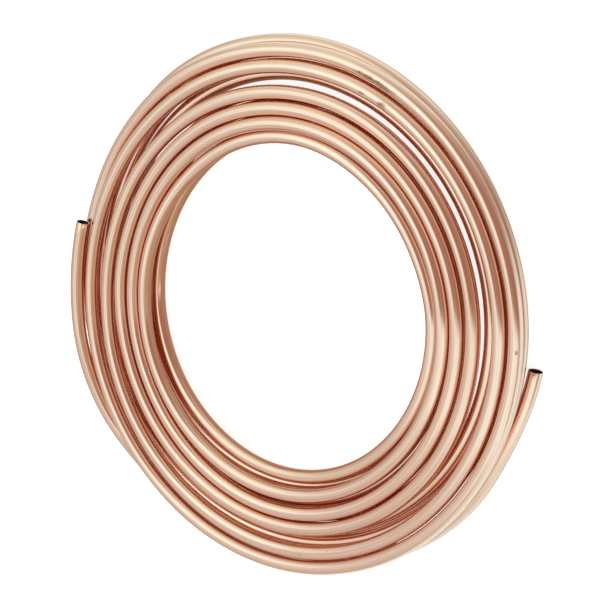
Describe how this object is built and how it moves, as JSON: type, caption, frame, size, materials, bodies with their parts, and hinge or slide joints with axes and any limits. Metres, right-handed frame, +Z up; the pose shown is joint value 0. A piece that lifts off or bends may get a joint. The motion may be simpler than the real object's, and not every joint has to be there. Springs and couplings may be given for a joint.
{
  "type": "copper tube coil",
  "caption": "Open flat coil of bright soft copper tube, wound round a wide bore, with both cut ends free on the outside.",
  "frame": {"origin": "on the floor under the middle of the coil's overall box", "axes": "+Z up, the coil lying flat with its axis upright and its front layer of turns on top, the tube's left end towards -X and its right end towards +X"},
  "size_m": [0.4918, 0.4864, 0.0414],
  "materials": {
    "copper": "bright drawn copper, satin, with fine drawing and handling marks"
  },
  "bodies": {
    "root": {"copper_tube": "copper"}
  },
  "joints": []
}
